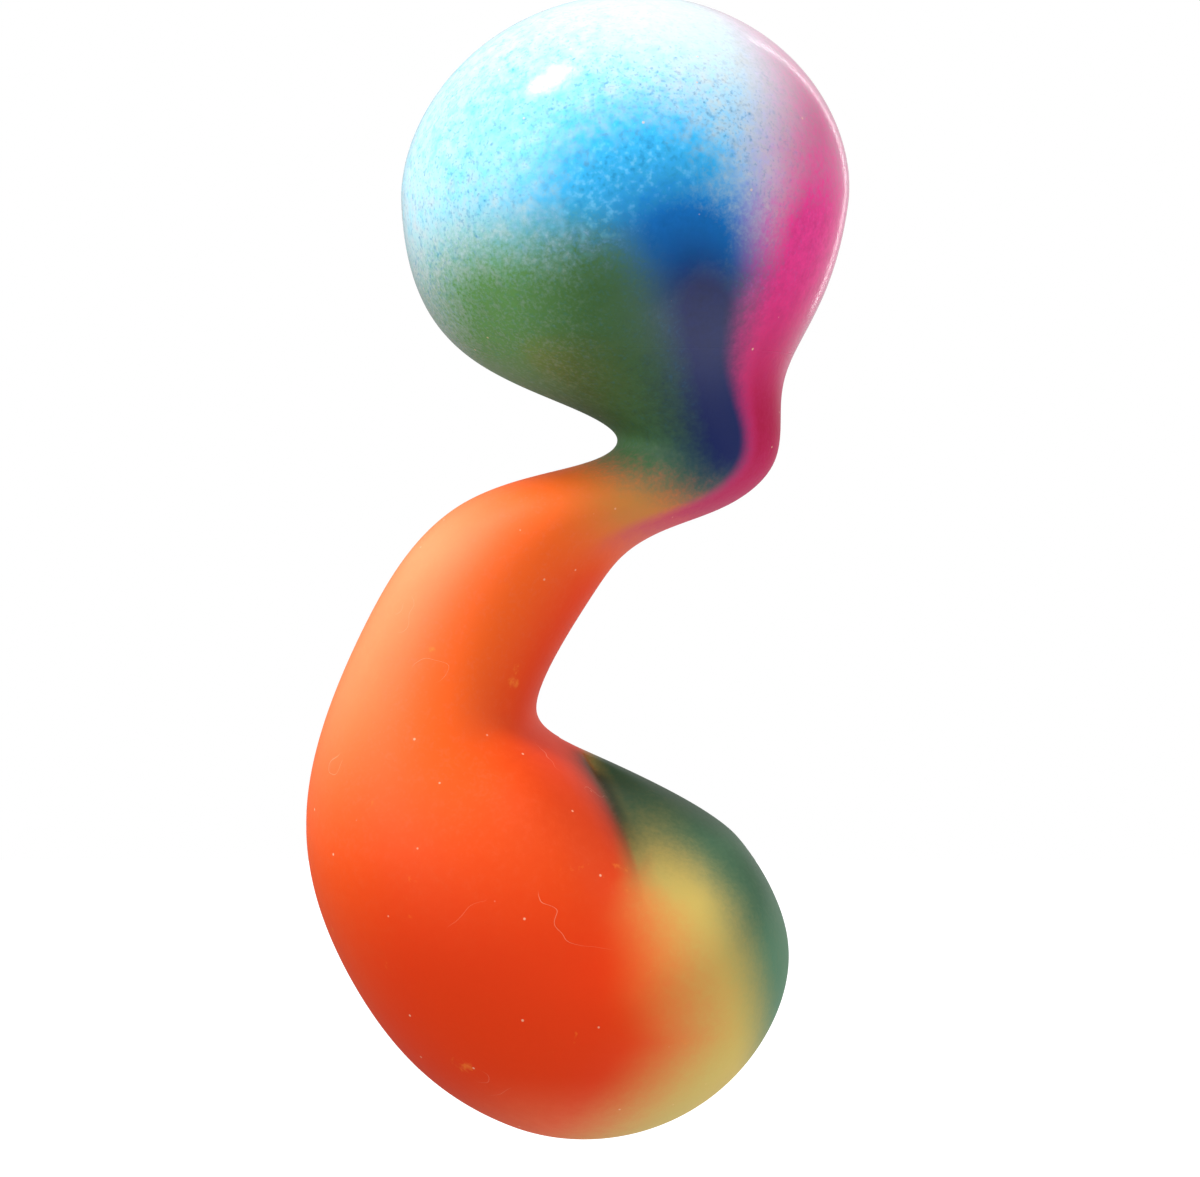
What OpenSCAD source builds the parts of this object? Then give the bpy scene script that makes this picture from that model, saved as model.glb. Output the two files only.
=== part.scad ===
// Soft squeeze ball held in its squeezed shape: a round upper bulge, a pinched neck,
// a curved arm, and a heavy lower bulge that ends in a rounded tail.
// A thin rubber skin holds a soft dough. Millimetres, +Z up, origin at the neck.

/* [Skin] */
// Thickness of the rubber skin
skin_t = 1.6; // [1.2:0.1:2.4]
// Room between the skin and the dough
dough_gap = 0.2; // [0.2:0.05:0.4]

/* [Upper bulge] */
// Half the width of the upper bulge at its widest
bulge_half_w = 30.2; // [28:0.1:32]
// Half the depth of the upper bulge, front to back
bulge_half_d = 29; // [27:0.1:31]
// Height of the upper bulge's top above the neck
bulge_top = 60.3; // [59:0.1:62]

/* [Neck and arm] */
// Half the width of the neck at its narrowest
neck_half_w = 10.4; // [9:0.1:12]
// Half the depth of the neck at its narrowest
neck_half_d = 10.6; // [9.5:0.1:12]
// Half the width of the arm below the neck
arm_half_w = 13; // [12:0.1:14]

/* [Lower bulge] */
// Half the width of the lower bulge at its widest
belly_half_w = 26; // [24.5:0.1:27]
// Half the depth of the lower bulge, front to back
belly_half_d = 26; // [24.5:0.1:27]

/* [Fill plug] */
// Radius of the fill hole through the skin
hole_r = 3.4; // [3:0.1:4]
// How far the fill hole leans from the top towards the back, in degrees
hole_lean = 50; // [35:1:55]
// Room round the plug in its hole
plug_gap = 0.05; // [0.03:0.01:0.1]
// How far the plug's low dome stands out of the skin
plug_dome = 0.7; // [0.4:0.1:1]
// Radius of the plug's flange under the skin
flange_r = 5.6; // [5:0.1:6]
// Thickness of the plug's flange
flange_t = 1.2; // [1:0.1:1.5]

/* [Mesh] */
// Facets round each cross-section
facets = 36; // [24:4:40]
// Rings on each rounded end
end_rings = 9; // [6:1:10]
// Rings per section between the rounded ends
rings_per_section = 2; // [2:1:3]

/* [Hidden] */
$fn = 64;

// Cross-sections from the top of the upper bulge to the tail, each an oval:
// [centre x, centre z, half width, lean of the width in degrees, half depth, shift back]
SECTIONS = [
    [-7.6, bulge_top, bulge_half_w, 0, bulge_half_d, 0],
    [-8.2, 46.4, bulge_half_w, 0, bulge_half_d, 0],
    [-8.7, 32, bulge_half_w, 0, bulge_half_d, 0],
    [-9.3, 20.4, 27.6, 0, 27, 0],
    [-8.4, 12, 21.8, 1, 21, 0.5],
    [-2.2, 6.4, 14, 2, 14.8, 1.5],
    [2.4, 0, neck_half_w, -10, neck_half_d, 2],
    [-3, -4.6, 9.2, -20, neck_half_d, 1.5],
    [-12, -6.8, 9.4, -22, 11.6, 0.5],
    [-20.2, -10.2, 11.4, -18, 12.6, 0],
    [-25.6, -16.6, arm_half_w, -11, 13.2, 0],
    [-30, -24, arm_half_w, -8, 13.6, 0],
    [-33.6, -31.4, 13.4, -1, 15, 0],
    [-35.8, -38.6, 15, 12, 18, 0.5],
    [-34.8, -44.4, 17.8, 20, 21, 1],
    [-30.9, -50.8, 21.5, 27, 24, 1],
    [-24.6, -58.4, 24.4, 35, belly_half_d, 1],
    [-17.4, -65.6, belly_half_w, 44, belly_half_d, 1],
    [-8.6, -70.8, 25.2, 53, belly_half_d, 1],
    [0.6, -73, 22.6, 63, 25, 1],
    [8, -71.6, 19.6, 75, 23, 1],
    [13.4, -67.6, 17, 88, 21, 1]
];
LAST = len(SECTIONS) - 1;
// The sections where the rounded ends begin
TOP = 2;
TAIL = LAST - 3;
// The stretches that bend, as positions along the sections
NECK = [5.3, 7.1];
WAIST = [12.2, 13.8];
// Room between a stretch that bends and its neighbours
BEND_GAP = 0.05;
// The little finger's dent in the front of the lower bulge: one end, other end, radius
DENT = [[-4, -15, -44.5], [24, -12, -54.5], 8];
// How steeply the dent's sides rise, and how softly it fades into the surface round it
DENT_FLARE = 1.2;
DENT_FADE = 3.5;
// Grooves that fingers press in the back: [height of the groove, x it leans about, depth]
GROOVES = [[14, -4, 1.6], [-13, -14, 1.4], [-30, -30, 1.8], [-49, -24, 1.8]];
// Half the width of such a groove
GROOVE_HALF_W = 8;
// How far each groove falls per millimetre towards +X
GROOVE_FALL = 0.12;

// Weights of a uniform cubic B-spline
function weights(u) = [
    pow(1 - u, 3) / 6,
    (3 * pow(u, 3) - 6 * pow(u, 2) + 4) / 6,
    (-3 * pow(u, 3) + 3 * pow(u, 2) + 3 * u + 1) / 6,
    pow(u, 3) / 6
];
function section(i) =
    i < 0 ? 2 * SECTIONS[0] - SECTIONS[1]
    : i > LAST ? 2 * SECTIONS[LAST] - SECTIONS[LAST - 1]
    : SECTIONS[i];
// The smoothed section at position s
function blended(s) =
    let(i = min(floor(s), LAST - 1), w = weights(s - i))
    w[0] * section(i - 1) + w[1] * section(i) + w[2] * section(i + 1) + w[3] * section(i + 2);
// Shrinks a section towards either end like a circle, 1 in between
function end_factor(s) =
    s < TOP ? sqrt(max(0, 1 - pow((TOP - s) / TOP, 2)))
    : s > TAIL ? sqrt(max(0, 1 - pow((s - TAIL) / (LAST - TAIL), 2)))
    : 1;

// Turns a point of the top about the bulge's middle, so that the fill hole leans back
BULGE_AXES = [bulge_half_w, bulge_half_d, bulge_top - SECTIONS[TOP][1]];
BULGE_MIDDLE = [SECTIONS[TOP][0], 0, SECTIONS[TOP][1]];
function lean(p, s) =
    s >= TOP ? p
    : let(a = hole_lean * pow((TOP - s) / TOP, 2),
          q = [for (k = [0:2]) (p[k] - BULGE_MIDDLE[k]) / BULGE_AXES[k]],
          t = [q[0], q[1] * cos(a) + q[2] * sin(a), q[2] * cos(a) - q[1] * sin(a)])
      [for (k = [0:2]) BULGE_MIDDLE[k] + t[k] * BULGE_AXES[k]];

// The larger of two numbers, with a soft change from one to the other
function soft_max(a, b, k) = (a + b + sqrt(pow(a - b, 2) + k * k)) / 2;
// Pushes a point back out of a finger-shaped valley in the front
function dented(p) =
    let(a = DENT[0], b = DENT[1], r = DENT[2],
        run = [b[0] - a[0], b[2] - a[2]],
        reach = norm(run),
        d = run / reach,
        from_a = [p[0] - a[0], p[2] - a[2]],
        u = from_a * d,
        past = u < 0 ? -u : max(0, u - reach),
        side = min(3 * r, norm([from_a * [-d[1], d[0]], past])),
        axis_y = a[1] + (b[1] - a[1]) * min(max(u / reach, 0), 1),
        valley_y = axis_y + r - side * side / (DENT_FLARE * r))
    [p[0], soft_max(p[1], valley_y, DENT_FADE), p[2]];
// Presses the shallow finger grooves into the back
function groove_depth(p) =
    let(h = [for (g = GROOVES)
        let(off = (p[2] - g[0] + GROOVE_FALL * (p[0] - g[1])) / GROOVE_HALF_W)
        g[2] * exp(-off * off * 1.5)])
    h[0] + h[1] + h[2] + h[3];
function grooved(p, back) = [p[0], p[1] - max(0, back) * groove_depth(p), p[2]];

// A point of the outer surface: s along the ball, a round it
function outer_point(s, a) =
    let(c = blended(s), e = end_factor(s),
        w = c[2] * e * cos(a),
        p = [c[0] + w * cos(c[3]), c[5] + c[4] * e * sin(a), c[1] + w * sin(c[3])])
    dented(grooved(lean(p, s), sin(a) * (s > TOP ? 1 : 0) * pow(e, 2)));

// The angle round the top where the fill hole's edge lies
RIM = asin(hole_r / bulge_half_d);
// Positions of the rings: round ends by angle, evenly in between
POSITIONS = concat(
    [for (i = [0:end_rings - 1]) TOP * (1 - cos(RIM + (90 - RIM) * i / end_rings))],
    [for (i = [0:(TAIL - TOP) * rings_per_section]) TOP + i / rings_per_section],
    [for (i = [end_rings - 1:-1:1]) LAST - (LAST - TAIL) * (1 - cos(90 * i / end_rings))]
);
ANGLES = [for (j = [0:facets - 1]) 360 * j / facets];
STEP_S = 0.01;
STEP_A = 1;
// The surface's outward normal, from points close by
function normal_at(s, a) =
    let(down = outer_point(min(s + STEP_S, LAST), a) - outer_point(max(s - STEP_S, 0.001), a),
        round_it = outer_point(s, a + STEP_A) - outer_point(s, a - STEP_A),
        n = cross(down, round_it))
    n / norm(n);
function inset_ring(s, depth) = [for (a = ANGLES) outer_point(s, a) - depth * normal_at(s, a)];
function tail_point(depth) = outer_point(LAST, 0) - depth * [cos(20), 0, sin(20)];
function flat(rings) = [for (r = rings, p = r) p];
function mean(points) = [for (k = [0:2]) [for (p = points) p[k]] * [for (p = points) 1] / len(points)];

// Faces between neighbouring rings, seen from outside
function bands(first, count) = [
    for (i = [first:first + count - 2], j = [0:facets - 1])
        let(a = i * facets + j, b = i * facets + (j + 1) % facets)
        each [[a, b, b + facets], [a, b + facets, a + facets]]
];
function fan(ring, tip) = [for (j = [0:facets - 1]) [ring * facets + j, ring * facets + (j + 1) % facets, tip]];
function flipped(faces) = [for (f = faces) [f[0], f[2], f[1]]];

// The rubber skin: outer and inner surfaces joined at the fill hole's edge
module skin() {
    count = len(POSITIONS);
    outer = [for (s = POSITIONS) inset_ring(s, 0)];
    inner = [for (s = POSITIONS) inset_ring(s, skin_t)];
    tips = [tail_point(0), tail_point(skin_t)];
    rim = [for (j = [0:facets - 1])
        let(k = (j + 1) % facets, in = count * facets)
        each [[k, j, in + j], [k, in + j, in + k]]];
    color("darkorange")
        polyhedron(
            points = concat(flat(outer), flat(inner), tips),
            faces = concat(
                bands(0, count),
                fan(count - 1, 2 * count * facets),
                flipped(bands(count, count)),
                flipped(fan(2 * count - 1, 2 * count * facets + 1)),
                rim
            ),
            convexity = 8
        );
}

// A stretch of dough from position s0 to s1, just inside the skin
module dough(s0, s1) {
    depth = skin_t + dough_gap;
    inside = [for (s = POSITIONS) if (s > s0 + 0.12 && s < s1 - 0.12) s];
    places = concat([s0], inside, s1 < LAST ? [s1] : []);
    rings = [for (s = places) inset_ring(s, depth)];
    last = len(places) - 1;
    tips = [mean(rings[0]), s1 < LAST ? mean(rings[last]) : tail_point(depth)];
    color("antiquewhite")
        polyhedron(
            points = concat(flat(rings), tips),
            faces = concat(
                bands(0, last + 1),
                flipped(fan(0, (last + 1) * facets)),
                fan(last, (last + 1) * facets + 1)
            ),
            convexity = 6
        );
}

// Places something at the fill hole, +Z straight out of the skin
module at_hole() {
    rim = [for (a = ANGLES) outer_point(POSITIONS[0], a)];
    out = cross(rim[facets / 4] - rim[3 * facets / 4], rim[0] - rim[facets / 2]);
    turn = atan2(-out[1], -out[2]);
    translate(mean(rim))
        rotate([-turn, 0, 0])
            children();
}

module upper_filling() {
    color("antiquewhite")
        difference() {
            dough(POSITIONS[0], NECK[0] - BEND_GAP);
            at_hole()
                translate([0, 0, -skin_t - 2 * flange_t])
                    cylinder(r = flange_r + 4 * dough_gap, h = 3 * flange_t);
        }
}

module neck_filling() {
    dough(NECK[0], NECK[1]);
}

module arm_filling() {
    dough(NECK[1] + BEND_GAP, WAIST[0] - BEND_GAP);
}

module waist_filling() {
    dough(WAIST[0], WAIST[1]);
}

module lower_filling() {
    dough(WAIST[1] + BEND_GAP, LAST);
}

// The plug that closes the fill hole: flange inside, shank through the skin, low dome outside
module fill_plug() {
    inner_hole_r = hole_r * (1 - skin_t / bulge_half_d);
    shank_r = inner_hole_r * cos(180 / facets) - plug_gap;
    dome_r = (shank_r * shank_r + plug_dome * plug_dome) / (2 * plug_dome);
    under = -skin_t - 3 * dough_gap;
    color("linen")
        at_hole() {
            translate([0, 0, under - flange_t])
                cylinder(r = flange_r, h = flange_t);
            translate([0, 0, under])
                cylinder(r = shank_r, h = -under);
            intersection() {
                cylinder(r = shank_r, h = plug_dome + 1);
                translate([0, 0, plug_dome - dome_r])
                    sphere(r = dome_r);
            }
        }
}

skin();
upper_filling();
neck_filling();
arm_filling();
waist_filling();
lower_filling();
fill_plug();
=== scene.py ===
import math

import bpy
import numpy as np
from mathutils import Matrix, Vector


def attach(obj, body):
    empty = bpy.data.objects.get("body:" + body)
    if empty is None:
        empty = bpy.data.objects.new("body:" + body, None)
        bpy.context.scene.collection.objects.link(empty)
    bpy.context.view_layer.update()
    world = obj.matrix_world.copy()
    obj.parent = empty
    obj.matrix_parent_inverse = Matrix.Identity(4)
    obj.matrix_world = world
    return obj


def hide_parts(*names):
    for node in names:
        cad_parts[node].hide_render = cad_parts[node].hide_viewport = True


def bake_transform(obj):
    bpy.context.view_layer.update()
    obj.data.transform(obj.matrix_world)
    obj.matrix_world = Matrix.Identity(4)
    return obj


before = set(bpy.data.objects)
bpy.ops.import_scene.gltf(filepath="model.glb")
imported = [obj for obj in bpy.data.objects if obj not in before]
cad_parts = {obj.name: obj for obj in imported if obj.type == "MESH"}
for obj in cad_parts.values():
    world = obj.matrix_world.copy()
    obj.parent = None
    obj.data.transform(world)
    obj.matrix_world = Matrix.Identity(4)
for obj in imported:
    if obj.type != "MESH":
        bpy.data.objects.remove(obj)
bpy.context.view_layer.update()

MM = 0.001

# ---------------------------------------------------------------- the squeezed shape, in millimetres
# Oval cross-sections from the top of the upper bulge to the tail:
# centre x, centre z, half width, lean of the width in degrees, half depth, shift back
SECTIONS = np.array([
    [-7.6, 60.3, 30.2, 0, 29, 0],
    [-8.2, 46.4, 30.2, 0, 29, 0],
    [-8.7, 32, 30.2, 0, 29, 0],
    [-9.3, 20.4, 27.6, 0, 27, 0],
    [-8.4, 12, 21.8, 1, 21, 0.5],
    [-2.2, 6.4, 14, 2, 14.8, 1.5],
    [2.4, 0, 10.4, -10, 10.6, 2],
    [-3, -4.6, 9.2, -20, 10.6, 1.5],
    [-12, -6.8, 9.4, -22, 11.6, 0.5],
    [-20.2, -10.2, 11.4, -18, 12.6, 0],
    [-25.6, -16.6, 13, -11, 13.2, 0],
    [-30, -24, 13, -8, 13.6, 0],
    [-33.6, -31.4, 13.4, -1, 15, 0],
    [-35.8, -38.6, 15, 12, 18, 0.5],
    [-34.8, -44.4, 17.8, 20, 21, 1],
    [-30.9, -50.8, 21.5, 27, 24, 1],
    [-24.6, -58.4, 24.4, 35, 26, 1],
    [-17.4, -65.6, 26, 44, 26, 1],
    [-8.6, -70.8, 25.2, 53, 26, 1],
    [0.6, -73, 22.6, 63, 25, 1],
    [8, -71.6, 19.6, 75, 23, 1],
    [13.4, -67.6, 17, 88, 21, 1],
])
LAST = len(SECTIONS) - 1
TOP = 2  # the upper bulge's round end begins here
TAIL = LAST - 3  # the tail's round end begins here
SEAM = 7.45  # where the two halves of the skin meet, on the part that the hand holds
SKIN_T = 1.6
DOUGH_GAP = 0.2
HOLE_R = 3.4
HOLE_LEAN = 50  # degrees from the top towards the back

# The valley that the little finger pressed: one end, other end, radius, flare of the sides, softness
LITTLE_FINGER = ((-3, -17, -44.7), (24, -19, -54.5), 7, 1.5, 5)
# The fold where the belly overhangs the tail: its two ends in x and z, how far its line bows, how deep
# the tail lies behind the belly at its top, how round the belly's edge is, and how wide the tail's roll
FOLD_TOP = np.array([-14.6, -40.0])
FOLD_END = np.array([-6.4, -58.5])
FOLD_BOW = 1.1
FOLD_DEPTH = 8.0
FOLD_EDGE = 3.6
FOLD_ROLL = 11.0
BELLY_SWELL = 1.6
FOLD_BEGINS = (12.4, 13.6)  # the sections between which the fold fades in
FINGER_BEGINS = (12.0, 13.5)  # the same for the little finger's valley
# The tail's shoulder under that finger, rounded off: the way it faces in x and z, how far out, how soft
SHOULDER = (0.82, 0.57, -23.6, 1.8)
# Grooves that the fingers pressed into the back: height, x there, depth
BACK_GROOVES = ((14, -4, 1.6), (-13, -14, 1.4), (-30, -30, 1.8), (-49, -24, 1.8))
BACK_GROOVE_HALF_W = 8
BACK_GROOVE_FALL = 0.12


def spline(s):
    """The sections smoothed by a uniform cubic B-spline, at positions s."""
    padded = np.vstack([2 * SECTIONS[0] - SECTIONS[1], SECTIONS, 2 * SECTIONS[-1] - SECTIONS[-2]])
    i = np.minimum(np.floor(s).astype(int), LAST - 1)
    u = (s - i)[..., None]
    weights = (
        (1 - u) ** 3 / 6,
        (3 * u**3 - 6 * u**2 + 4) / 6,
        (-3 * u**3 + 3 * u**2 + 3 * u + 1) / 6,
        u**3 / 6,
    )
    return sum(w * padded[i + k] for k, w in enumerate(weights))


def end_factor(s):
    """Shrinks a section towards either end like a circle, 1 in between."""
    top = np.sqrt(np.maximum(0, 1 - ((TOP - s) / TOP) ** 2))
    tail = np.sqrt(np.maximum(0, 1 - ((s - TAIL) / (LAST - TAIL)) ** 2))
    return np.where(s < TOP, top, np.where(s > TAIL, tail, 1.0))


BULGE_MIDDLE = np.array([SECTIONS[TOP, 0], 0, SECTIONS[TOP, 1]])
BULGE_AXES = np.array([SECTIONS[TOP, 2], SECTIONS[TOP, 4], SECTIONS[0, 1] - SECTIONS[TOP, 1]])


def lean_top(p, s):
    """Turns the top's points about the bulge's middle, so that the fill hole leans back."""
    turn = np.radians(HOLE_LEAN * (np.maximum(TOP - s, 0) / TOP) ** 2)
    q = (p - BULGE_MIDDLE) / BULGE_AXES
    c, d = np.cos(turn), np.sin(turn)
    q = np.stack([q[..., 0], q[..., 1] * c + q[..., 2] * d, q[..., 2] * c - q[..., 1] * d], -1)
    return np.where((s < TOP)[..., None], BULGE_MIDDLE + q * BULGE_AXES, p)


def soft_max(a, b, k):
    return (a + b + np.sqrt((a - b) ** 2 + k * k)) / 2


def ramp(x, low, high):
    """0 at low, 1 at high, smooth in between. low may be the larger."""
    t = np.clip((x - low) / (high - low), 0, 1)
    return t * t * (3 - 2 * t)


def valley(p, start, end, radius, flare):
    """The y of a finger-shaped valley's floor at each point."""
    (ax, ay, az), (bx, by, bz) = start, end
    reach = math.hypot(bx - ax, bz - az)
    dx, dz = (bx - ax) / reach, (bz - az) / reach
    fx, fz = p[..., 0] - ax, p[..., 2] - az
    u = fx * dx + fz * dz
    past = np.maximum(np.maximum(-u, u - reach), 0)
    side = np.minimum(np.hypot(fz * dx - fx * dz, past), 3 * radius)
    axis_y = ay + (by - ay) * np.clip(u / reach, 0, 1)
    return axis_y + radius - side**2 / (flare * radius)


def fold_place(p):
    """Millimetres to the right of the fold's gently bowed line, and how far along it, 0 to 1."""
    run = FOLD_END - FOLD_TOP
    reach = np.linalg.norm(run)
    way = run / reach
    q = p[..., (0, 2)] - FOLD_TOP
    along = q @ way / reach
    across = q @ np.array([-way[1], way[0]])
    return across - FOLD_BOW * np.sin(np.pi * np.clip(along, 0, 1)), along


def outer_point(s, a):
    """Points of the skin's outside: s along the ball, a round it in degrees."""
    s, a = np.broadcast_arrays(np.asarray(s, float), np.asarray(a, float))
    sec, e, turn = spline(s), end_factor(s), np.radians(a)
    lean = np.radians(sec[..., 3])
    w = sec[..., 2] * e * np.cos(turn)
    p = np.stack([
        sec[..., 0] + w * np.cos(lean),
        sec[..., 5] + sec[..., 4] * e * np.sin(turn),
        sec[..., 1] + w * np.sin(lean),
    ], -1)
    p = lean_top(p, s)
    back = np.maximum(np.sin(turn), 0) * (s > TOP) * e**2
    for height, x, depth in BACK_GROOVES:
        off = (p[..., 2] - height + BACK_GROOVE_FALL * (p[..., 0] - x)) / BACK_GROOVE_HALF_W
        p[..., 1] -= back * depth * np.exp(-1.5 * off**2)
    way_x, way_z, limit, soft = SHOULDER
    over = soft_max(p[..., 0] * way_x + p[..., 2] * way_z - limit, 0, soft) * (s > TAIL - 4)
    p[..., 0] -= over * way_x
    p[..., 2] -= over * way_z
    across, along = fold_place(p)
    front = ramp(p[..., 1], 0, -12)
    belly = ramp(s, *FOLD_BEGINS)
    step = FOLD_DEPTH * ramp(along, 1.0, 0.0) * belly
    edge = np.clip((across + FOLD_EDGE) / FOLD_EDGE, 0, 1)
    roll = np.where(across < 0, 1 - np.sqrt(1 - edge**2), ramp(across, FOLD_ROLL, 0))
    swell = BELLY_SWELL * np.exp(-(((across + 7) / 5) ** 2)) * ramp(along, 1.3, 0.2) * ramp(along, -0.5, 0.2)
    p[..., 1] += front * (step * roll - swell * belly)
    floor = valley(p, *LITTLE_FINGER[:4]) - 1.5 * np.maximum(0, -across)
    floor -= 30 * ramp(s, *FINGER_BEGINS[::-1])
    p[..., 1] = soft_max(p[..., 1], floor, LITTLE_FINGER[4])
    return p


def normal_at(s, a):
    """The outward normal of the outside, from points close by."""
    ds, da = 0.02, 1.0
    down = outer_point(np.minimum(s + ds, LAST), a) - outer_point(np.maximum(s - ds, 0.001), a)
    round_it = outer_point(s, a + da) - outer_point(s, a - da)
    n = np.cross(down, round_it)
    return n / np.maximum(np.linalg.norm(n, axis=-1, keepdims=True), 1e-9)


RIM = math.degrees(math.asin(HOLE_R / BULGE_AXES[1]))  # the fill hole's edge, as an angle round the top
RIM_S = TOP * (1 - math.cos(math.radians(RIM)))


def positions(start, end, step):
    """Ring positions from start to end, about step millimetres apart where the surface is longest."""
    fine = np.linspace(0, 1, 4000)
    s = start + (end - start) * fine
    if end == LAST:  # rings crowd where the tail closes
        s = start + (end - start) * np.sin(fine * np.pi / 2)
    tracks = [outer_point(s, a) for a in (180.0, 0.0, -90.0)]
    lengths = [np.linalg.norm(np.diff(track, axis=0), axis=1) for track in tracks]
    travel = np.concatenate([[0], np.cumsum(np.max(lengths, axis=0))])
    count = max(8, int(travel[-1] / step))
    return np.interp(np.linspace(0, travel[-1], count + 1), travel, s)


# ---------------------------------------------------------------- meshes
def make_object(name, points, faces, material, crisp=()):
    """A smooth mesh, with crisp edges along the rings given as (first point, number of points)."""
    mesh = bpy.data.meshes.new(name)
    mesh.from_pydata((np.asarray(points) * MM).tolist(), [], faces)
    mesh.validate()
    mesh.update()
    ring = np.full(len(points), -1)
    for i, (first, count) in enumerate(crisp):
        ring[first : first + count] = i
    ends = np.zeros(2 * len(mesh.edges), int)
    mesh.edges.foreach_get("vertices", ends)
    ends = ring[ends.reshape(-1, 2)]
    sharp = mesh.attributes.new("sharp_edge", "BOOLEAN", "EDGE")
    sharp.data.foreach_set("value", (ends[:, 0] >= 0) & (ends[:, 0] == ends[:, 1]))
    obj = bpy.data.objects.new(name, mesh)
    bpy.context.scene.collection.objects.link(obj)
    mesh.materials.append(material)
    mesh.polygons.foreach_set("use_smooth", [True] * len(mesh.polygons))
    return obj


def band_faces(first, rings, around, flip=False):
    faces = []
    for i in range(rings - 1):
        for j in range(around):
            k = (j + 1) % around
            a, b = first + i * around + j, first + i * around + k
            quad = (a, a + around, b + around, b)
            faces.append(quad[::-1] if flip else quad)
    return faces


def join_rings(upper, lower, around):
    """Quads between two rings, upper drawn first, seen from outside."""
    return [
        (upper + j, lower + j, lower + (j + 1) % around, upper + (j + 1) % around)
        for j in range(around)
    ]


def tail_tip(depth):
    """The middle of the tail's end, that many millimetres under the outside."""
    tip = outer_point(float(LAST), 0.0)
    out_way = tip - spline(np.array(LAST - 0.5))[[0, 5, 1]]
    return tip - depth * (out_way / np.linalg.norm(out_way))


def skin_half(name, start, end, around, step, material):
    """A closed stretch of the skin: outside, inside, and the walls that join them."""
    a = np.arange(around) * 360 / around
    s_out = positions(start, end, step)
    s_in = positions(start, end, step * 2.5)
    closes = end == LAST
    if closes:
        s_out, s_in = s_out[:-1], s_in[:-1]
    outside = outer_point(s_out[:, None], a[None, :])
    inside = outer_point(s_in[:, None], a) - SKIN_T * normal_at(s_in[:, None], a[None, :])
    points = [outside.reshape(-1, 3), inside.reshape(-1, 3)]
    n_out, n_in = len(s_out), len(s_in)
    base = n_out * around
    faces = band_faces(0, n_out, around) + band_faces(base, n_in, around, flip=True)
    faces += join_rings(base, 0, around)
    last_out, last_in = (n_out - 1) * around, base + (n_in - 1) * around
    crisp = [(0, around), (base, around)]
    s_all = [np.repeat(s_out, around), np.repeat(s_in, around)]
    if closes:
        points += [tail_tip(0)[None], tail_tip(SKIN_T)[None]]
        t = base + n_in * around
        faces += [(last_out + j, t, last_out + (j + 1) % around) for j in range(around)]
        faces += [(last_in + (j + 1) % around, t + 1, last_in + j) for j in range(around)]
        s_all.append(np.array([LAST, LAST], float))
    else:
        faces += join_rings(last_out, last_in, around)
        crisp += [(last_out, around), (last_in, around)]
    points = np.concatenate(points)
    obj = make_object(name, points, faces, material, crisp)
    write_paint(obj, points, np.concatenate(s_all))
    return obj


def dough_half(name, start, end, around, step, material):
    """The dough just inside the skin, from start to end, with flat ends."""
    a = np.arange(around) * 360 / around
    s = positions(start, end, step)
    closes = end == LAST
    if closes:
        s = s[:-1]
    depth = SKIN_T + DOUGH_GAP
    rings = outer_point(s[:, None], a) - depth * normal_at(s[:, None], a[None, :])
    points = [rings.reshape(-1, 3), rings[0].mean(0)[None]]
    if closes:
        points.append(tail_tip(depth)[None])
    else:
        points.append(rings[-1].mean(0)[None])
    n = len(s)
    t, last = n * around, (n - 1) * around
    faces = band_faces(0, n, around)
    faces += [((j + 1) % around, t, j) for j in range(around)]
    faces += [(last + j, t + 1, last + (j + 1) % around) for j in range(around)]
    points = np.concatenate(points)
    crisp = [(0, around)] if closes else [(0, around), (last, around)]
    obj = make_object(name, points, faces, material, crisp)
    write_vector(obj, "rest_mm", points)
    return obj


def write_vector(obj, name, values):
    attribute = obj.data.attributes.new(name, "FLOAT_VECTOR", "POINT")
    attribute.data.foreach_set("vector", np.asarray(values, np.float32).ravel())


def write_value(obj, name, values):
    attribute = obj.data.attributes.new(name, "FLOAT", "POINT")
    attribute.data.foreach_set("value", np.asarray(values, np.float32))


# ---------------------------------------------------------------- where each sprayed colour lies
def blob(p, centre, radii):
    return np.exp(-np.sum(((p - np.array(centre)) / np.array(radii)) ** 2, -1))


def round_from_front(p, s):
    """Degrees round the ball's middle line, 0 at the front and 90 at the right, and millimetres from it."""
    middle = spline(np.clip(s, TOP, LAST))
    x = p[:, 0] - middle[:, 0]
    y = p[:, 1] - middle[:, 5]
    return np.degrees(np.arctan2(x, -y)), np.hypot(x, y)


def line_at(z, heights, values):
    """A value that runs through the given ones at the given heights, lowest first."""
    return np.interp(z, heights, values)


def arm_sprays(p, s, turn):
    """The orange that covers everything below the neck, its redder paint underneath, and painted sheen,
    shade and reflection over it.
    """
    x, z = p[:, 0], p[:, 2]
    arm = ramp(s, 8, 10)
    # The peach is a painted sheen on the arm's lit left side, lighter towards the top.
    lit_side = np.exp(-(((turn + 55) / 38) ** 2))
    underside = ramp(z, -32, -68) * ramp(x, 8, -14) * (1 - 0.4 * ramp(x, -36, -52))
    # Painted shade: the red over the arm's inner side makes it darker there.
    inner_side_shade = 0.9 * ramp(turn, 10, 65) * ramp(turn, 150, 110) * arm
    return {
        "orange": ramp(s, 5.0, 6.8),
        "peach_sheen": lit_side * line_at(z, (-56, -33, -14), (0, 0.46, 0.70)) * arm,
        "red": underside + inner_side_shade,
        # Painted shade: ember darkens the belly beside the fold.
        "ember_shade": 0.55 * blob(p, (-16, -20, -44), (10, 14, 9)),
        # Painted reflection: a pale orange along the bottom's right edge, for the bright floor seen there.
        "bottom_reflection": 0.42 * ramp(z, -80, -90) * ramp(x, -38, -18),
        # Painted shade: a dull khaki where the neck meets the arm.
        "khaki_shade": 0.85 * blob(p, (-7, -6, -7), (8, 14, 6)),
    }


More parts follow.
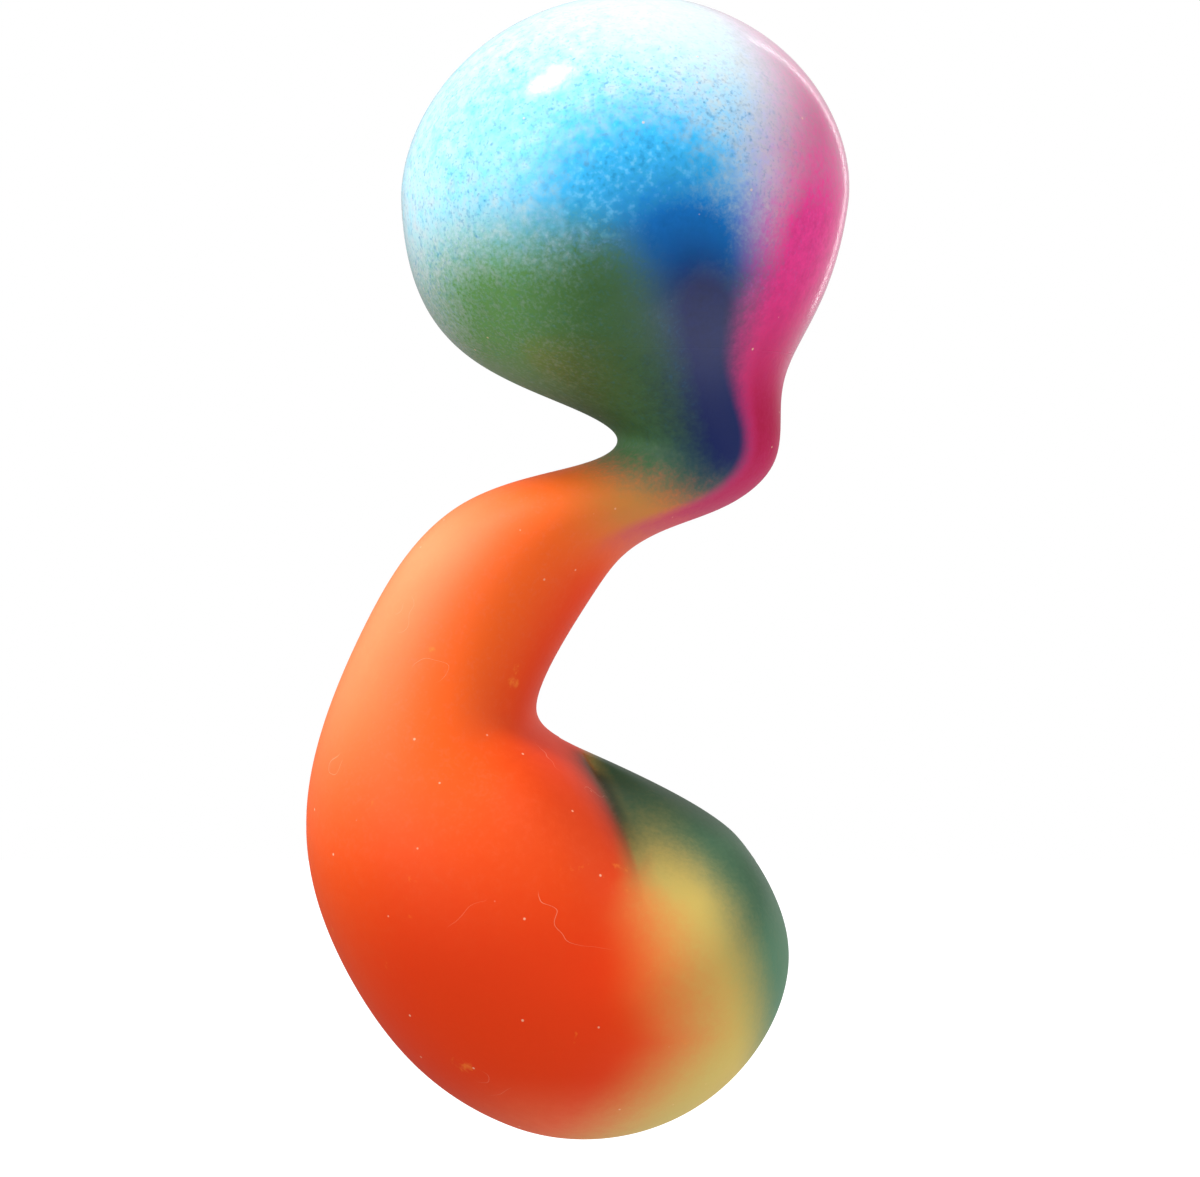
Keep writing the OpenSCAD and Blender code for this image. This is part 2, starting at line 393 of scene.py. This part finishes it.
def bulge_sprays(p, s, turn, off_axis):
    """Azure clouds over green and navy on the upper bulge, with pink down its right side."""
    x, y, z = p[:, 0], p[:, 1], p[:, 2]
    upper = ramp(s, 7.9, 5.9)
    haze = 0.85 * blob(p, (-23, -20, 38), (21, 36, 19)) + 0.5 * blob(p, (-14, 26, 38), (20, 20, 15))
    azure = 1.15 * blob(p, (-6, -24, 34), (14, 30, 10)) + 0.7 * blob(p, (-14, 26, 36), (15, 16, 11))
    azure += 0.45 * blob(p, (-13, -22, 28), (9, 24, 6))
    deep = 1.35 * blob(p, (-1.5, -20, 25.5), (10.5, 24, 7.5)) + 0.9 * blob(p, (-12, 20, 24), (13, 16, 10))
    navy_x = line_at(z, (0, 10, 22, 30), (5, 3.5, 0.5, -2))
    navy = 1.2 * ramp(z, 32, 16.5) * np.exp(-(((x - navy_x) / 7.5) ** 2) - ((y + 18) / 26) ** 2)
    dusk = ramp(z, 29, 20) * ramp(x, -17, -9) * ramp(y, 14, -4)
    green_edge = -6.5 + (21 - z) * 0.6
    green = 0.98 * ramp(z, 33, 18.5) * ramp(x - green_edge, 6, -6) * (0.35 + 0.65 * ramp(x, -40, -26))
    # Painted shade: forest darkens the green on the right of the bulge's lower part.
    forest_shade = 0.65 * green * ramp(x, -26, -12)
    heights = (5, 13, 21, 28, 37, 44, 60)
    pink_from = line_at(z, heights, (28, 31, 30, 26, 22, 27, 34))
    pink_full = line_at(z, heights, (48, 54, 55, 53, 58, 68, 84))
    pink = ramp(turn, pink_from, pink_full) * ramp(turn, 178, 138) * ramp(s, 9.5, 6.6)
    pink *= line_at(z, (20, 28, 36, 44, 50, 60), (1.15, 1.05, 0.88, 0.84, 0.70, 0.36))
    pink *= ramp(off_axis, 1, 15)
    return {
        "haze": haze * upper,
        "azure": azure * upper,
        "dusk": dusk * upper,
        "deep": deep * upper,
        "green": green * upper,
        "forest_shade": forest_shade * upper,
        "navy": navy * upper,
        "pink": pink,
        "crimson": pink * ramp(z, 31, -4),
    }


def tail_sprays(p, s):
    """Yellow and then teal towards the tail, olive and dark green paint in the fold and under the finger,
    and painted shade over them there.
    """
    x, y, z = p[:, 0], p[:, 1], p[:, 2]
    fold, along = fold_place(p)
    in_fold = ramp(fold, -0.6, 0.6) * ramp(along, 1.05, 0.7) * ramp(along, -0.1, 0.1)
    yellow_line = line_at(z, (-92, -88, -76, -66, -60, -56), (-15, -12, -3, -5.5, -8, -9.5))
    yellow_soft = line_at(z, (-76, -70, -60, -55), (9, 10.5, 8, 3.5))
    yellow = ramp((x + 0.12 * y - yellow_line) / yellow_soft, -1, 1)
    yellow = np.maximum(yellow, in_fold) * ramp(s, 14.0, 15.0)
    # Olive paint in the crease, darkened as painted shade of the crease; beside it, painted shade of the
    # little finger.
    crease = 0.96 * np.exp(-(((fold - 0.5) / 1.7) ** 2))
    beside = 0.22 * np.exp(-(((fold - 2.5) / 3) ** 2))
    olive_and_crease_shade = np.maximum(crease, beside) * (ramp(along, 1.05, 0.4) * ramp(along, -0.2, 0.1))
    heights = (-88, -80, -74, -66.7, -58.7, -54, -50)
    teal_line = line_at(z, heights, (14, 10, 8.5, 6.5, 4.0, 1.0, -2.5))
    teal = ramp(x + 0.15 * y - teal_line + 2, -5, 5) * ramp(s, 15, 17)
    # Dark green paint beside the fold, darkened as painted shade of the little finger, and painted shade of
    # that finger over the teal.
    beside_fold = ramp(fold, -0.8, 2.2) * ramp(z, -60, -45)
    moss_and_shade = np.maximum(beside_fold, 0.6 * np.clip(teal, 0, 1) * ramp(z, -67, -54))
    return {
        "yellow": yellow,
        "olive_and_crease_shade": olive_and_crease_shade * ramp(y, 0, -4),
        "teal": teal,
        "moss_and_shade": moss_and_shade * ramp(s, 13.4, 14.6),
    }


def spray_cover(p, s):
    """How much of each sprayed colour lands at each point, 0 to 1 and beyond."""
    turn, off_axis = round_from_front(p, s)
    return arm_sprays(p, s, turn) | bulge_sprays(p, s, turn, off_axis) | tail_sprays(p, s)


def speck_share(cover):
    """Droplets gather where a colour thins out."""
    mist = np.clip(cover["haze"] * 0.5 + cover["azure"] + cover["deep"] + cover["green"], 0, 1)
    edge = 4 * mist * (1 - mist)
    pale = 1 - 0.7 * np.clip(cover["pink"], 0, 1)
    dark = 1 - np.clip(cover["navy"], 0, 1)
    return np.clip(0.12 * mist + 0.6 * edge, 0, 1) * (1 - np.clip(cover["orange"], 0, 1)) * pale * dark


def write_paint(obj, points, s):
    """Everything that the skin's material reads: place, sprays, droplets, gloss and lint."""
    write_vector(obj, "rest_mm", points)
    covers = spray_cover(points, s)
    for name, cover in covers.items():
        write_value(obj, f"cover_{name}", cover)
    write_value(obj, "specks", speck_share(covers))
    write_value(obj, "gloss", ramp(s, 6.0, 2.8))
    tail = np.clip(covers["yellow"] + covers["teal"], 0, 1)
    write_value(obj, "lint", ramp(s, 9.0, 10.5) * (1 - tail))


# ---------------------------------------------------------------- materials
def linear(r, g, b):
    """A colour as seen on screen, 0 to 1, to the shader's linear values."""
    straight = [c / 12.92 if c <= 0.04045 else ((c + 0.055) / 1.055) ** 2.4 for c in (r, g, b)]
    return (*straight, 1.0)


class Tree:
    """Short calls for building one material's nodes."""

    def __init__(self, name):
        self.material = bpy.data.materials.new(name)
        self.material.use_nodes = True
        self.nodes = self.material.node_tree.nodes
        self.links = self.material.node_tree.links
        self.nodes.clear()
        self.output = self.nodes.new("ShaderNodeOutputMaterial")
        self.shader = self.nodes.new("ShaderNodeBsdfPrincipled")
        self.links.new(self.shader.outputs[0], self.output.inputs["Surface"])

    def put(self, socket, value):
        if isinstance(value, bpy.types.NodeSocket):
            self.links.new(value, socket)
        elif value is not None:
            socket.default_value = value

    def attribute(self, name, output="Fac"):
        node = self.nodes.new("ShaderNodeAttribute")
        node.attribute_name = name
        return node.outputs[output]

    def math(self, operation, a, b=None, c=None, clamp=False):
        node = self.nodes.new("ShaderNodeMath")
        node.operation = operation
        node.use_clamp = clamp
        for socket, value in zip(node.inputs, (a, b, c)):
            self.put(socket, value)
        return node.outputs[0]

    def remap(self, value, low, high, to_low=0.0, to_high=1.0):
        node = self.nodes.new("ShaderNodeMapRange")
        node.interpolation_type = "SMOOTHSTEP"
        for socket, v in zip(node.inputs, (value, low, high, to_low, to_high)):
            self.put(socket, v)
        return node.outputs[0]

    def noise(self, vector, scale, detail=2.0, roughness=0.5, distortion=0.0):
        node = self.nodes.new("ShaderNodeTexNoise")
        self.put(node.inputs["Vector"], vector)
        node.inputs["Scale"].default_value = scale
        node.inputs["Detail"].default_value = detail
        node.inputs["Roughness"].default_value = roughness
        node.inputs["Distortion"].default_value = distortion
        return node.outputs[0]

    def dots(self, vector, scale, size, share):
        """Round dots in a share of the cells of a lattice with that many cells per millimetre."""
        node = self.nodes.new("ShaderNodeTexVoronoi")
        self.put(node.inputs["Vector"], vector)
        node.inputs["Scale"].default_value = scale
        pick = self.nodes.new("ShaderNodeSeparateColor")
        self.links.new(node.outputs["Color"], pick.inputs[0])
        chosen = self.math("LESS_THAN", pick.outputs[0], share)
        body = self.remap(node.outputs["Distance"], size, size * 0.45)
        return self.math("MULTIPLY", chosen, body)

    def grey(self, value):
        node = self.nodes.new("ShaderNodeCombineColor")
        for socket in node.inputs[:3]:
            self.put(socket, value)
        return node.outputs[0]

    def mix(self, factor, a, b, blend="MIX"):
        node = self.nodes.new("ShaderNodeMix")
        node.data_type = "RGBA"
        node.blend_type = blend
        self.put(node.inputs[0], factor)
        self.put(node.inputs[6], a)
        self.put(node.inputs[7], b)
        return node.outputs[2]

    def bump(self, height, distance, strength=1.0, below=None):
        node = self.nodes.new("ShaderNodeBump")
        node.inputs["Strength"].default_value = strength
        node.inputs["Distance"].default_value = distance
        self.put(node.inputs["Height"], height)
        self.put(node.inputs["Normal"], below)
        return node.outputs[0]


# Each sprayed colour in the order of spraying: its name, its colour, how far its droplets break up its
# edge, and how far its softer mottles do. Not all is paint: the peach is a painted sheen, the pale orange
# at the bottom is a painted reflection, and ember, khaki and forest are painted shade; olive and moss are
# real paint darkened by painted shade.
SPRAYS = (
    ("orange", (0.97, 0.38, 0.08), 0.05, 0.03),
    ("peach_sheen", (1.0, 0.65, 0.46), 0.03, 0.03),
    ("red", (0.91, 0.23, 0.02), 0.03, 0.05),
    ("ember_shade", (0.76, 0.20, 0.03), 0.03, 0.05),
    ("bottom_reflection", (1.0, 0.55, 0.36), 0.03, 0.05),
    ("khaki_shade", (0.74, 0.55, 0.27), 0.05, 0.05),
    ("haze", (0.56, 0.88, 0.97), 0.14, 0.40),
    ("azure", (0.25, 0.75, 0.98), 0.22, 0.34),
    ("dusk", (0.14, 0.36, 0.48), 0.22, 0.10),
    ("deep", (0.07, 0.46, 0.78), 0.26, 0.16),
    ("green", (0.38, 0.58, 0.32), 0.34, 0.14),
    ("forest_shade", (0.18, 0.30, 0.17), 0.12, 0.12),
    ("navy", (0.06, 0.13, 0.36), 0.10, 0.08),
    ("pink", (0.91, 0.24, 0.57), 0.12, 0.08),
    ("crimson", (0.70, 0.07, 0.28), 0.10, 0.06),
    ("yellow", (0.79, 0.69, 0.36), 0.06, 0.05),
    ("olive_and_crease_shade", (0.14, 0.12, 0.06), 0.04, 0.04),
    ("teal", (0.33, 0.50, 0.38), 0.08, 0.05),
    ("moss_and_shade", (0.20, 0.31, 0.21), 0.08, 0.05),
)
UNDERCOAT = linear(0.90, 0.96, 0.98)
SPECK = linear(0.11, 0.50, 0.74)
PALE = linear(0.50, 0.84, 1.0)
BLOT = linear(0.42, 0.82, 0.96)
DUST = linear(1.0, 0.84, 0.70)
SCUFF = linear(1.0, 0.62, 0.22)
# Roughness of the arm and the lower bulge, and of the upper bulge
SATIN = 0.56
GLOSSY = 0.17


def sprayed_colour(t, rest, droplets, mottles):
    """All the sprays in turn over the undercoat, with loose droplets where they thin out."""
    blots = t.math("MULTIPLY", t.remap(t.noise(rest, 0.50, 2.0, 0.5), 0.50, 0.68), t.attribute("cover_haze"))
    colour = UNDERCOAT
    for name, shade, fine, coarse in SPRAYS:
        cover = t.attribute(f"cover_{name}")
        edge = t.math("MULTIPLY", cover, t.math("SUBTRACT", 1.15, cover), clamp=True)
        rough = t.math("MULTIPLY_ADD", droplets, fine * 4, t.math("MULTIPLY", mottles, coarse * 4))
        layer = t.math("MULTIPLY_ADD", rough, t.math("MULTIPLY", edge, 2.2), cover, clamp=True)
        colour = t.mix(layer, colour, linear(*shade))
        if name == "haze":
            colour = t.mix(t.math("MULTIPLY", blots, 0.55, clamp=True), colour, BLOT)
    azure = t.math("SUBTRACT", t.attribute("cover_azure"), t.attribute("cover_deep"), clamp=True)
    flecks = t.noise(rest, 0.95, 2.0, 0.55)
    pale = t.math("MULTIPLY", t.remap(flecks, 0.50, 0.74), t.math("MULTIPLY", azure, 0.6))
    dark = t.math("MULTIPLY", t.remap(flecks, 0.50, 0.28), t.math("MULTIPLY", azure, 0.4))
    colour = t.mix(dark, t.mix(pale, colour, PALE), SPECK)
    share = t.attribute("specks")
    small = t.math("MULTIPLY", t.remap(t.noise(rest, 2.3, 1.0, 0.5), 0.53, 0.76), share)
    large = t.math("MULTIPLY", t.remap(t.noise(rest, 1.2, 1.0, 0.5), 0.58, 0.80), share)
    dots = t.math("ADD", t.math("MULTIPLY", small, 0.62), t.math("MULTIPLY", large, 0.66), clamp=True)
    return t.mix(dots, colour, SPECK)


def handled(t, rest, colour):
    """The wear of a handled toy on its satin part: faint scuffs, dust and a few hairs."""
    lint = t.attribute("lint")
    scuffs = t.math("MULTIPLY", t.remap(t.noise(rest, 0.16, 5.0, 0.62), 0.66, 0.74), lint)
    colour = t.mix(t.math("MULTIPLY", scuffs, 0.40), colour, SCUFF)
    line = t.math("ABSOLUTE", t.math("SUBTRACT", t.noise(rest, 0.10, 2.0, 0.5), 0.5))
    stretches = t.remap(t.noise(rest, 0.075, 0.0), 0.62, 0.68)
    hairs = t.math("MULTIPLY", t.remap(line, 0.0022, 0.0008), stretches)
    dust = t.math("MULTIPLY", t.dots(rest, 0.30, 0.07, 0.55), 0.6)
    dust = t.math("MAXIMUM", dust, t.math("MULTIPLY", hairs, t.math("MULTIPLY", lint, 0.26)))
    return t.mix(dust, colour, DUST)


def painted_skin():
    t = Tree("painted_skin")
    rest = t.attribute("rest_mm", "Vector")
    droplets = t.math("SUBTRACT", t.noise(rest, 1.9, 2.0, 0.6), 0.5)
    mottles = t.math("SUBTRACT", t.noise(rest, 0.62, 2.0, 0.45), 0.5)
    gloss = t.attribute("gloss")
    colour = sprayed_colour(t, rest, droplets, mottles)
    uneven = t.math("ADD", t.math("MULTIPLY", droplets, 0.40), t.math("MULTIPLY", mottles, 0.40))
    cloud = t.math("MULTIPLY_ADD", uneven, t.remap(gloss, 0.0, 1.0, 0.05, 1.0), 1.0)
    colour = t.mix(1.0, colour, t.grey(cloud), "MULTIPLY")
    t.put(t.shader.inputs["Base Color"], handled(t, rest, colour))
    t.put(t.shader.inputs["Roughness"], t.remap(gloss, 0.0, 1.0, SATIN, GLOSSY))
    t.shader.inputs["Subsurface Weight"].default_value = 0.06
    t.shader.inputs["Subsurface Radius"].default_value = (1.0, 0.6, 0.45)
    t.shader.inputs["Subsurface Scale"].default_value = 0.002
    t.shader.inputs["IOR"].default_value = 1.45
    t.shader.inputs["Specular IOR Level"].default_value = 0.22
    peel = t.noise(rest, 1.3, 3.0, 0.5)
    t.put(t.shader.inputs["Normal"], t.bump(peel, 0.00003))
    return t.material


def dough():
    t = Tree("dough")
    rest = t.attribute("rest_mm", "Vector")
    lumps = t.noise(rest, 0.25, 4.0, 0.55)
    grains = t.noise(rest, 2.5, 2.0, 0.6)
    colour = t.mix(t.remap(lumps, 0.3, 0.7), linear(0.86, 0.80, 0.68), linear(0.95, 0.91, 0.82))
    colour = t.mix(t.remap(grains, 0.55, 0.75, 0.0, 0.35), colour, linear(0.78, 0.70, 0.56))
    t.put(t.shader.inputs["Base Color"], colour)
    t.put(t.shader.inputs["Roughness"], t.remap(grains, 0.3, 0.7, 0.62, 0.82))
    t.put(t.shader.inputs["Normal"], t.bump(grains, 0.0002, 0.6, t.bump(lumps, 0.0008, 0.6)))
    return t.material


def plug_rubber():
    t = Tree("plug_rubber")
    rest = t.attribute("rest_mm", "Vector")
    cloud = t.noise(rest, 0.5, 3.0, 0.5)
    grain = t.noise(rest, 5.0, 2.0, 0.6)
    colour = t.mix(t.remap(cloud, 0.35, 0.65), linear(0.80, 0.86, 0.87), linear(0.90, 0.92, 0.90))
    t.put(t.shader.inputs["Base Color"], colour)
    t.put(t.shader.inputs["Roughness"], t.remap(grain, 0.3, 0.7, 0.30, 0.42))
    t.shader.inputs["Subsurface Weight"].default_value = 0.25
    t.shader.inputs["Subsurface Radius"].default_value = (1.0, 0.9, 0.8)
    t.shader.inputs["Subsurface Scale"].default_value = 0.002
    t.put(t.shader.inputs["Normal"], t.bump(grain, 0.00004, 0.6))
    return t.material


# ---------------------------------------------------------------- the fill plug
def hole_axes():
    """The fill hole's middle, and three directions: across, up along the skin, and straight out."""
    a = np.arange(0, 360, 5.0)
    rim = outer_point(np.full(len(a), RIM_S), a)
    middle = rim.mean(0)
    across = rim[0] - rim[len(a) // 2]
    across /= np.linalg.norm(across)
    out = np.cross(across, rim[len(a) // 4] - rim[3 * len(a) // 4])
    out /= np.linalg.norm(out)
    if out @ (middle - BULGE_MIDDLE) < 0:
        out = -out
    return middle, across, np.cross(out, across), out


# The plug's turned profile as radius and height over the skin: flange, shank, dished head with a nib
PLUG_PROFILE = [
    (0.0, -3.2), (4.9, -3.2), (5.35, -3.1), (5.6, -2.8), (5.6, -2.3), (5.4, -2.05), (5.0, -1.98),
    (3.7, -1.95), (3.45, -1.85), (3.33, -1.6), (3.33, -0.3), (3.4, -0.02), (3.7, 0.0), (4.5, -0.12),
    (4.62, -0.1), (4.6, 0.02), (4.3, 0.16), (3.8, 0.34), (3.4, 0.52), (3.0, 0.66), (2.6, 0.7),
    (2.25, 0.66), (1.95, 0.52), (1.6, 0.4), (1.2, 0.36), (0.75, 0.36), (0.6, 0.42), (0.5, 0.5),
    (0.3, 0.54), (0.0, 0.55),
]


def fill_plug(material):
    """The plug's profile turned about the fill hole's axis."""
    profile = PLUG_PROFILE
    around = 96
    middle, across, up, out = hole_axes()
    turn = np.radians(np.arange(around) * 360 / around)
    rings = [
        middle + r * (np.cos(turn)[:, None] * across + np.sin(turn)[:, None] * up) + h * out
        for r, h in profile[1:-1]
    ]
    ends = [(middle + profile[k][1] * out)[None] for k in (0, -1)]
    points = np.concatenate(rings + ends)
    n = len(rings)
    bottom, top = n * around, n * around + 1
    faces = []
    for i in range(n - 1):
        for j in range(around):
            a, b = i * around + j, i * around + (j + 1) % around
            faces.append((a, b, b + around, a + around))
    faces += [(bottom, (j + 1) % around, j) for j in range(around)]
    last = (n - 1) * around
    faces += [(last + j, last + (j + 1) % around, top) for j in range(around)]
    obj = make_object("plug_head", points, faces, material)
    write_vector(obj, "rest_mm", points)
    return obj


# ---------------------------------------------------------------- build the ball
# Points round the skin, and millimetres between its rings
AROUND = 360
STEP = 0.6
skin_material = painted_skin()
dough_material = dough()
plug_material = plug_rubber()

skin_upper = skin_half("skin_upper", RIM_S, SEAM, AROUND, STEP, skin_material)
skin_lower = skin_half("skin_lower", SEAM, LAST, AROUND, STEP, skin_material)
dough_upper = dough_half("dough_upper", RIM_S, SEAM, AROUND // 2, STEP * 2.5, dough_material)
dough_lower = dough_half("dough_lower", SEAM, LAST, AROUND // 2, STEP * 2.5, dough_material)
plug = fill_plug(plug_material)


def bend(piece):
    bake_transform(piece)


for piece in (skin_upper, dough_upper):
    bend(piece)
for piece in (skin_lower, dough_lower):
    bend(piece)
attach(plug, "upper_bulge")

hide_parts("skin")
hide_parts("skin")
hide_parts("upper_filling", "neck_filling")
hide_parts("arm_filling", "waist_filling", "lower_filling")
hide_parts("fill_plug")


# ---------------------------------------------------------------- floor, light and camera
def white_floor():
    bpy.ops.mesh.primitive_plane_add(size=6, location=(0, 0, -0.30))
    floor = bpy.context.object
    floor.name = "floor"
    floor.visible_diffuse = False
    floor.visible_glossy = False
    t = Tree("floor")
    t.shader.inputs["Base Color"].default_value = (0.6, 0.6, 0.6, 1)
    t.shader.inputs["Roughness"].default_value = 0.9
    t.shader.inputs["Emission Color"].default_value = (1, 1, 1, 1)
    t.shader.inputs["Emission Strength"].default_value = 0.95
    floor.data.materials.append(t.material)


def area_light(name, at, look_at, size, power):
    """A rectangular light that the camera doesn't see: place and aim in metres, power in watts."""
    data = bpy.data.lights.new(name, "AREA")
    data.shape = "RECTANGLE"
    data.size, data.size_y = size
    data.energy = power
    lamp = bpy.data.objects.new(name, data)
    bpy.context.scene.collection.objects.link(lamp)
    lamp.location = at
    way = np.array(look_at) - np.array(at)
    lamp.rotation_euler = Vector(way).to_track_quat("-Z", "Y").to_euler()
    lamp.visible_camera = False


# Light of the room round the object, by where a ray goes: behind it, up, down and to the front
ROOM_BEHIND = 0.80
ROOM_ABOVE = 0.62
ROOM_BELOW = 1.5
ROOM_FRONT = 0.34
ROOM_LEFT = 0.12  # how much of it the left side keeps behind and below


def white_room():
    """A white backdrop behind the object and a dimmer room in front, and plain white to the camera."""
    world = bpy.data.worlds.new("studio")
    bpy.context.scene.world = world
    world.use_nodes = True
    nodes, links = world.node_tree.nodes, world.node_tree.links
    background = nodes["Background"]
    ray = nodes.new("ShaderNodeLightPath")
    place = nodes.new("ShaderNodeTexCoord")
    split = nodes.new("ShaderNodeSeparateXYZ")
    links.new(place.outputs["Generated"], split.inputs[0])

    def step(value, low, high, dim, bright):
        node = nodes.new("ShaderNodeMapRange")
        node.interpolation_type = "SMOOTHSTEP"
        for socket, v in zip(node.inputs[1:5], (low, high, dim, bright)):
            socket.default_value = v
        links.new(value, node.inputs[0])
        return node.outputs[0]

    def join(operation, a, b):
        node = nodes.new("ShaderNodeMath")
        node.operation = operation
        links.new(a, node.inputs[0])
        links.new(b, node.inputs[1])
        return node.outputs[0]

    behind = step(split.outputs["Y"], 0.30, 0.85, 0.0, ROOM_BEHIND)
    above = step(split.outputs["Z"], 0.0, 0.9, ROOM_FRONT, ROOM_ABOVE)
    below = step(split.outputs["Z"], -0.3, -0.9, 0.0, ROOM_BELOW)
    left_dim = step(split.outputs["X"], -0.30, 0.25, ROOM_LEFT, 1.0)
    edges = join("MULTIPLY", join("MAXIMUM", behind, below), left_dim)
    brightest = join("MAXIMUM", join("MAXIMUM", edges, above), ray.outputs["Is Camera Ray"])
    links.new(brightest, background.inputs["Strength"])
    background.inputs["Color"].default_value = (1, 1, 1, 1)


def camera():
    data = bpy.data.cameras.new("camera")
    data.lens = 100
    data.sensor_width = 36
    data.clip_start = 0.01
    cam = bpy.data.objects.new("camera", data)
    bpy.context.scene.collection.objects.link(cam)
    cam.location = (-0.012, -0.445, -0.0185)
    cam.rotation_euler = (math.radians(90), 0, 0)
    bpy.context.scene.camera = cam


white_floor()
white_room()
area_light("key", (-0.30, -0.12, 0.56), (-0.01, 0, 0.02), (0.13, 0.17), 2.7)
area_light("left", (-0.60, -0.42, 0.26), (-0.03, 0, -0.03), (0.45, 0.55), 3.9)
area_light("right", (0.62, -0.30, 0.22), (0, 0, 0), (0.45, 0.45), 1.4)
area_light("rim", (0.36, 0.70, 0.26), (0, 0, 0.03), (0.018, 0.72), 0.32)
area_light("below", (0.22, -0.10, -0.28), (-0.01, 0, -0.05), (0.30, 0.30), 0.35)
camera()
bpy.context.scene.view_settings.view_transform = "Standard"
